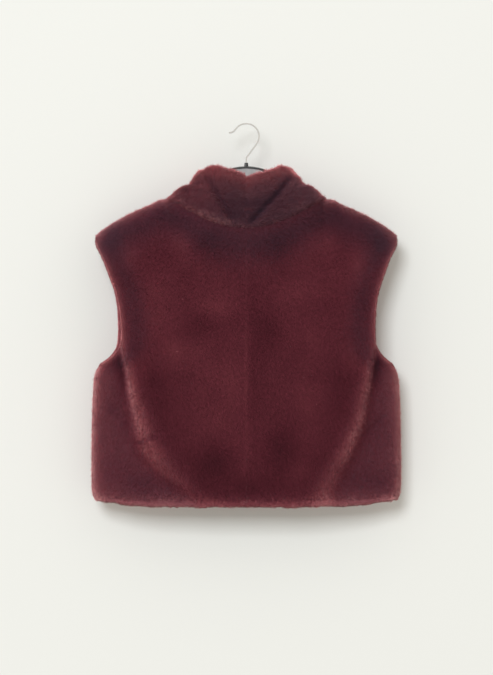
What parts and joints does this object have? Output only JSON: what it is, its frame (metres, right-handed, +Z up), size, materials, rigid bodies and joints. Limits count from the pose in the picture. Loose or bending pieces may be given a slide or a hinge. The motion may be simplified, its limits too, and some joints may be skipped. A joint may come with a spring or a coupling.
{
  "type": "fur gilet on a hanger",
  "caption": "Cropped sleeveless fur gilet with a soft stand collar, open at the front, hanging from the wire hook of a slim hanger.",
  "frame": {"origin": "underside of the crown of the hanger's hook, where it hangs on a pin, in the middle of the garment", "axes": "+Z up; +Y the way the wearer faces, so the back faces -Y; +X the wearer's right"},
  "size_m": [0.4966, 0.1126, 0.6127],
  "materials": {
    "fur": "short dense plush pile, dark burgundy",
    "hanger_dark": "satin black",
    "hanger_grey": "satin grey",
    "hook_wire": "polished wire"
  },
  "bodies": {
    "root": {"back_left": "fur", "back_right": "fur", "front_left": "fur", "front_right": "fur", "collar": "fur", "hanger_rim": "hanger_dark", "hanger_web": "hanger_grey", "hanger_ferrule": "hanger_dark", "hanger_hook": "hook_wire"}
  },
  "joints": []
}
